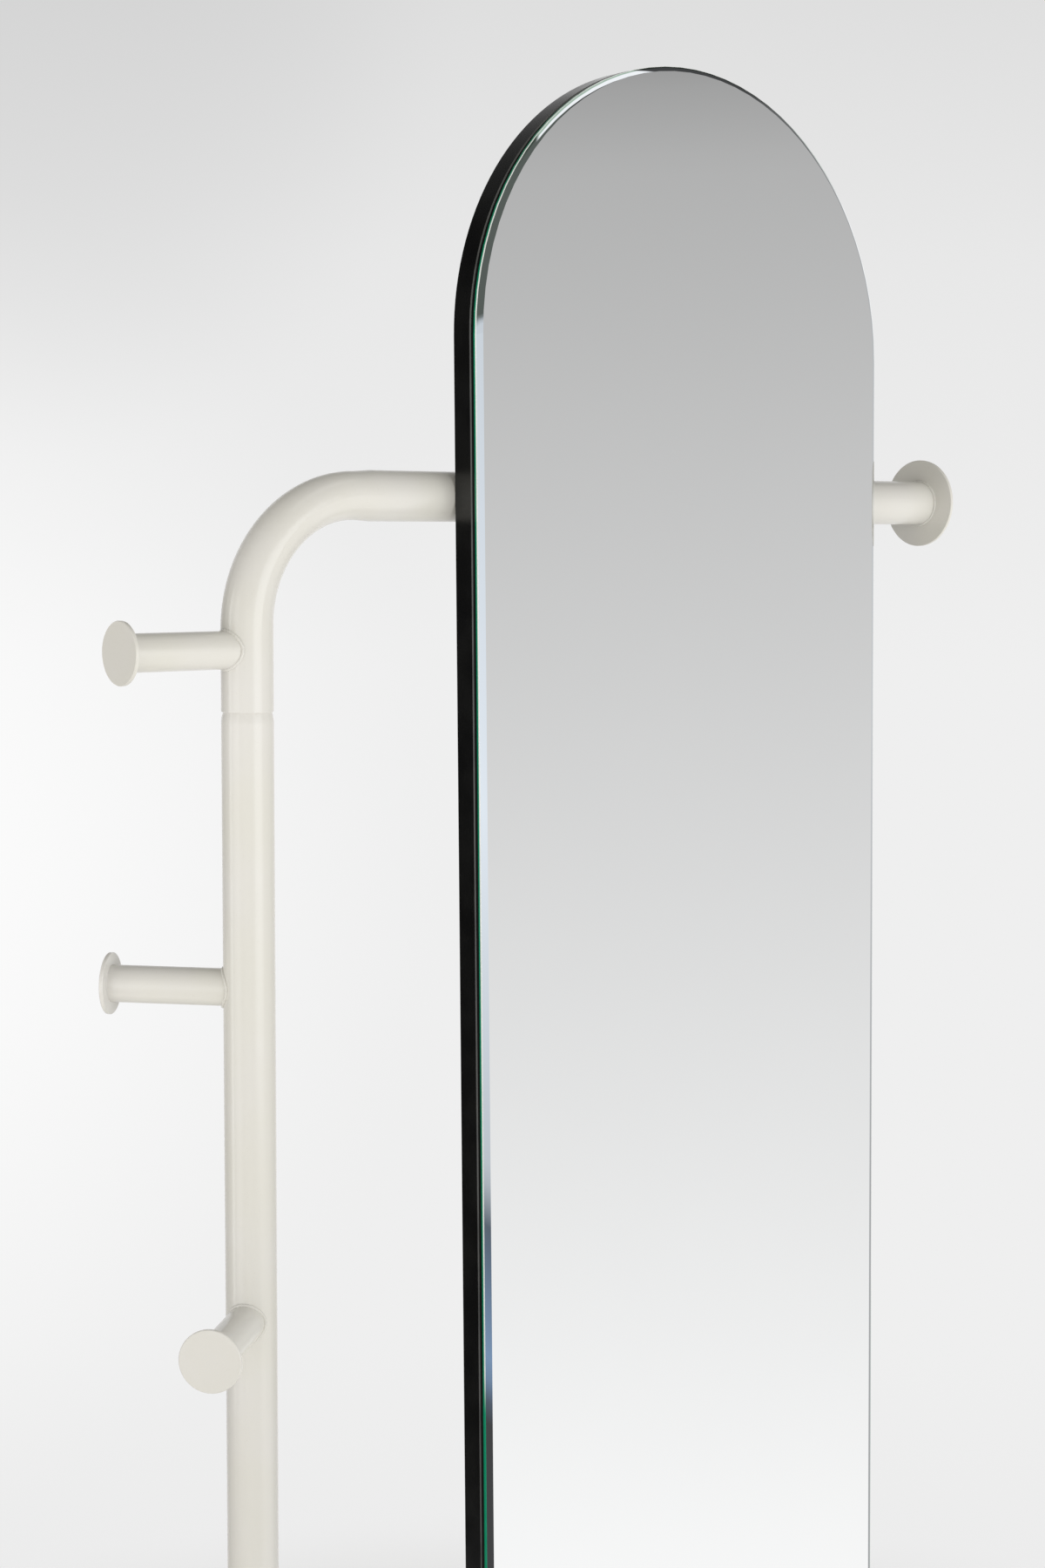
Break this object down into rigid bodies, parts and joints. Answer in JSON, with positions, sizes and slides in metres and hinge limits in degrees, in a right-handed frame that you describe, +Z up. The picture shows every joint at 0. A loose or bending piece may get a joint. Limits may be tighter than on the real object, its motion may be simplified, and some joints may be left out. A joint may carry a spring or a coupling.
{
  "type": "floor mirror with coat stand",
  "caption": "Arched full-length mirror that tilts on the horizontal bar of a tubular coat stand with round-headed pegs and a flat floor plate.",
  "frame": {"origin": "on the floor, in the middle of the object's footprint", "axes": "+X along the bar from the upright to the end disc, -Y towards the viewer and the mirror's face, +Z up"},
  "size_m": [0.913, 0.3, 1.8006],
  "materials": {
    "powder": "warm off-white powder coat, satin",
    "rubber_mat": "matt foam rubber",
    "bare_steel": "zinc plated",
    "painted_screws": "painted heads",
    "silvered_glass": "polished, bevelled edge",
    "foam_tape": "black foam tape",
    "black_board": "hardboard, black paint",
    "black_lacquer": "fibreboard, satin black lacquer",
    "raw_wood": "planed softwood",
    "brass_insert": "turned",
    "clamp_steel": "powder coated strip",
    "nylon_liner": "moulded nylon"
  },
  "bodies": {
    "stand": {"base_plate": "powder", "upright_tube": "powder", "bar_tube": "powder", "bar_end_disc": "powder", "peg_upper_rod": "powder", "peg_upper_disc": "powder", "peg_middle_rod": "powder", "peg_middle_disc": "powder", "peg_lower_rod": "powder", "peg_lower_disc": "powder", "floor_mat": "rubber_mat", "foot_plug": "bare_steel", "base_bolt": "bare_steel", "foot_dowels": "bare_steel", "joint_sleeve": "bare_steel", "joint_screws": "painted_screws", "tilt_stop_screws": "painted_screws"},
    "mirror": {"clamp_screws": "painted_screws", "mirror_glass": "silvered_glass", "glass_adhesive": "foam_tape", "glass_carrier": "black_board", "rear_board": "black_board", "rim_arch": "black_lacquer", "rim_stile_left": "black_lacquer", "rim_stile_right": "black_lacquer", "rim_bottom": "black_lacquer", "bar_rail": "raw_wood", "middle_rail": "raw_wood", "lower_rail": "raw_wood", "rail_inserts": "brass_insert", "clamp_left": "clamp_steel", "clamp_right": "clamp_steel", "liner_left": "nylon_liner", "liner_right": "nylon_liner"}
  },
  "joints": [
    {"name": "mirror_tilt", "type": "hinge", "parent": "stand", "child": "mirror", "pos_m": [0, 0, 1.4452], "axis": [1, 0, 0], "range_deg": [-5, 7]}
  ]
}
